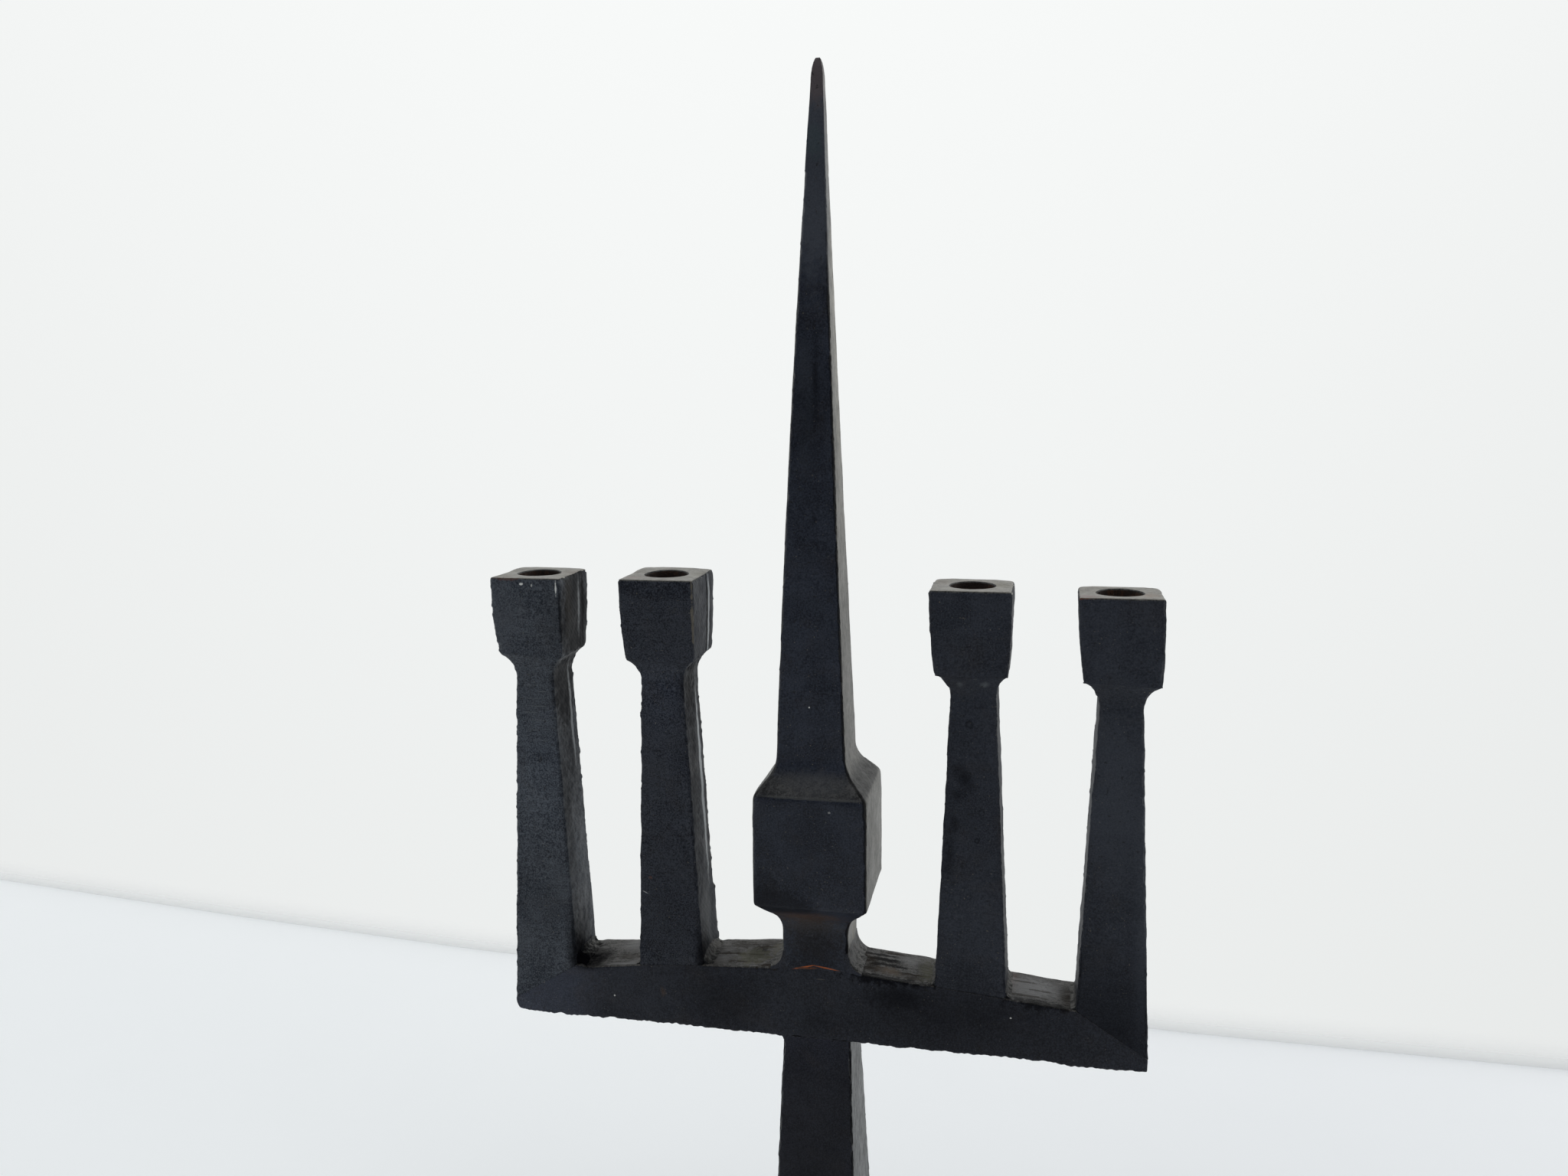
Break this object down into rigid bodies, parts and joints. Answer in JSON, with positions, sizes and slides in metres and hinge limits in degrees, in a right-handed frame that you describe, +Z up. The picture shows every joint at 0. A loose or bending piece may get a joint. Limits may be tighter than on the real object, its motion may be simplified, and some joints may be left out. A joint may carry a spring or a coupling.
{
  "type": "candelabra",
  "caption": "Blackened iron table candelabra: square cup heads on tapered posts along a crossbar, a tall central spire with a block knob, and a flared stem on a square foot",
  "frame": {"origin": "centre of the base plate's underside, on the table", "axes": "+Z up along the spire, +X to the right along the crossbar, +Y to the back, away from the viewer"},
  "size_m": [0.3352, 0.17, 0.722],
  "materials": {
    "forged_iron": "blackened, satin, finely mottled",
    "bar_iron": "blackened, satin, finely mottled with brown patches",
    "weld_metal": "rough, grey",
    "fastener_steel": "bright, lightly oiled"
  },
  "bodies": {
    "root": {"base_plate": "forged_iron", "foot_washer": "fastener_steel", "foot_bolt": "fastener_steel", "stem": "forged_iron", "crossbar": "bar_iron", "centre_stud": "fastener_steel", "spire": "forged_iron", "candle_post_outer_left": "forged_iron", "candle_post_inner_left": "forged_iron", "candle_post_inner_right": "forged_iron", "candle_post_outer_right": "forged_iron", "weld_outer_left_inwards": "weld_metal", "weld_inner_left_inwards": "weld_metal", "weld_inner_left_outwards": "weld_metal", "weld_inner_right_inwards": "weld_metal", "weld_inner_right_outwards": "weld_metal", "weld_outer_right_inwards": "weld_metal", "weld_spire_left": "weld_metal", "weld_spire_right": "weld_metal", "weld_stem_left": "weld_metal"}
  },
  "joints": []
}
